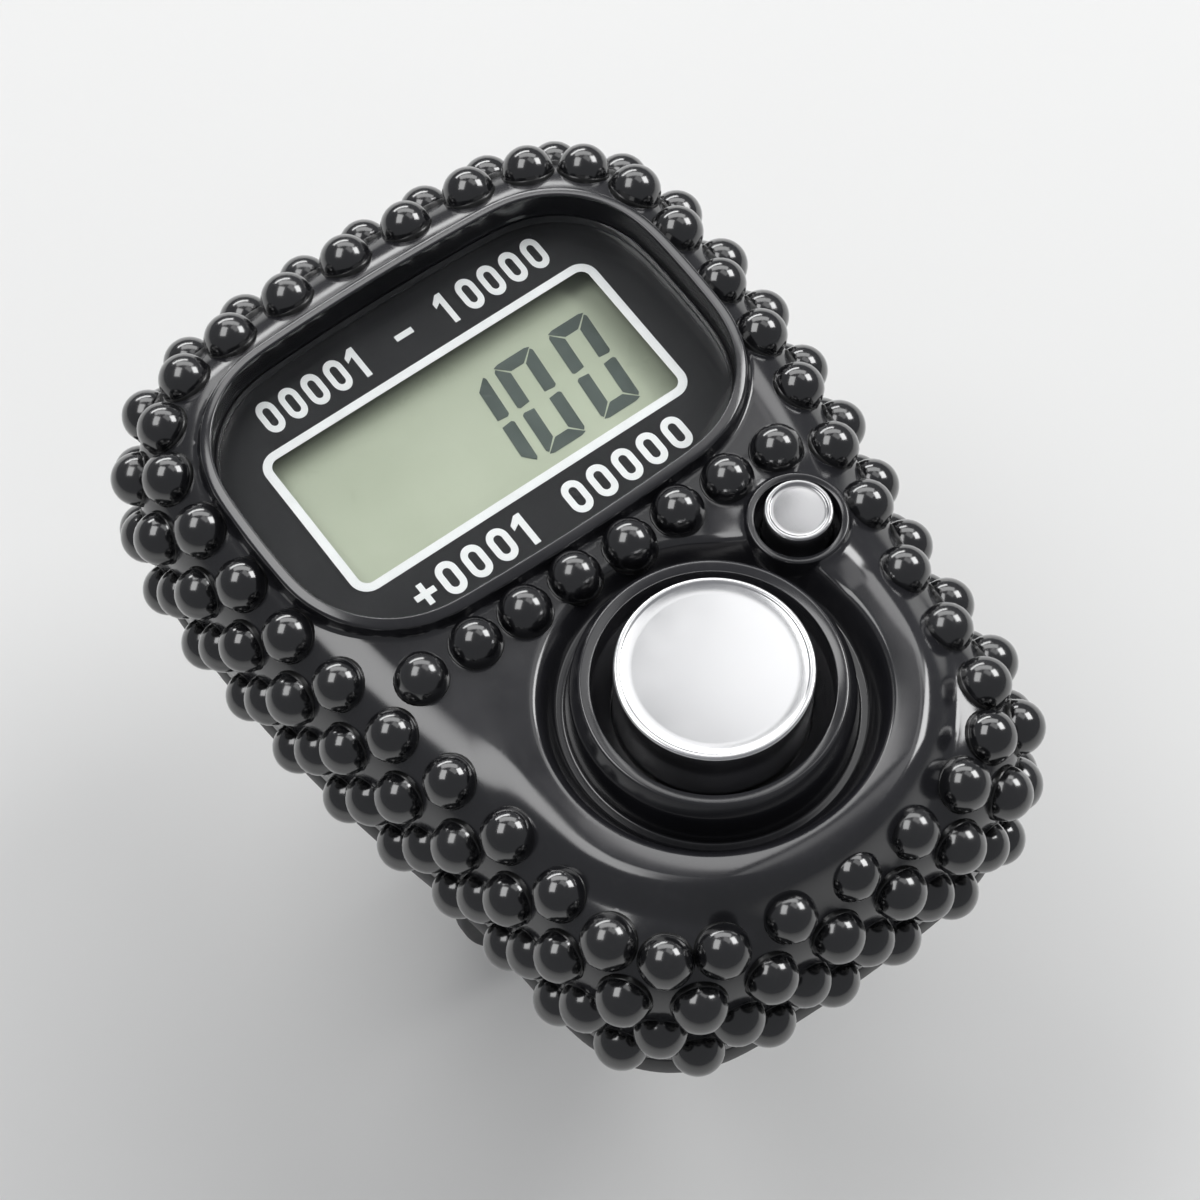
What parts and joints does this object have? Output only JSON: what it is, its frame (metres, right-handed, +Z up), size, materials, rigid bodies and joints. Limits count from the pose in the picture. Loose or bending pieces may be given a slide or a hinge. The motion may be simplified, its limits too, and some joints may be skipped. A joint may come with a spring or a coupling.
{
  "type": "digital tasbih counter",
  "caption": "Finger-worn digital tally counter with a recessed display, round count button, small reset button, bead-covered case and pegged finger strap.",
  "frame": {"origin": "centre of the finger loop", "axes": "+Z up out of the face, +Y along the loop axis to the display end, +X to the right"},
  "size_m": [0.0314, 0.0426, 0.0353],
  "materials": {
    "case_black": "glossy black moulding",
    "bead_black": "polished black half-round bead",
    "lens_clear": "clear acrylic window",
    "mask_print": "charcoal printed film",
    "lcd_glass": "thin display glass",
    "lcd_film": "grey-green polariser and reflector film",
    "frame_plastic": "natural moulded holder",
    "zebra_rubber": "striped elastomer connector",
    "board_laminate": "green solder mask on laminate",
    "chip_epoxy": "black epoxy drop",
    "button_chrome": "bright plated plastic",
    "dome_silicone": "translucent silicone",
    "pill_carbon": "conductive carbon rubber",
    "cell_steel": "nickel-plated steel can",
    "contact_steel": "plated spring steel",
    "screw_steel": "zinc-plated steel",
    "strap_rubber": "soft black moulded strap"
  },
  "bodies": {
    "case": {"front_case": "case_black", "rear_cover": "case_black", "display_lens": "lens_clear", "display_mask": "mask_print", "lcd_polariser": "lcd_film", "lcd_reflector": "lcd_film", "lcd_front_glass": "lcd_glass", "lcd_rear_glass": "lcd_glass", "lcd_frame": "frame_plastic", "zebra_strip": "zebra_rubber", "circuit_board": "board_laminate", "chip_blob": "chip_epoxy", "board_chips": "chip_epoxy", "count_dome": "dome_silicone", "reset_dome": "dome_silicone", "button_cell": "cell_steel", "contact_negative": "contact_steel", "contact_positive": "contact_steel", "case_screws": "screw_steel", "frame_screws": "screw_steel", "strap_pegged": "strap_rubber", "strap_holed": "strap_rubber", "beads_face_rim": "bead_black", "beads_upper_side": "bead_black", "beads_middle_side": "bead_black", "beads_lower_side": "bead_black", "beads_cross_row": "bead_black"},
    "count_button": {"count_button": "button_chrome", "count_pill": "pill_carbon"},
    "reset_button": {"reset_button": "button_chrome", "reset_pill": "pill_carbon"},
    "battery_door": {"battery_door": "case_black"}
  },
  "joints": [
    {"name": "count_press", "type": "slide", "parent": "case", "child": "count_button", "axis": [0, 0, -1], "range_m": [0, 0.0009], "stiffness_N_per_m": 900, "springref_m": -0.0005, "deforming": ["count_dome"]},
    {"name": "reset_press", "type": "slide", "parent": "case", "child": "reset_button", "axis": [0, 0, -1], "range_m": [0, 0.0006], "stiffness_N_per_m": 900, "springref_m": -0.0004, "deforming": ["reset_dome"]},
    {"name": "door_turn", "type": "hinge", "parent": "case", "child": "battery_door", "pos_m": [0, 0.006, 0.0094], "axis": [0, 0, -1], "range_deg": [0, 60]}
  ]
}
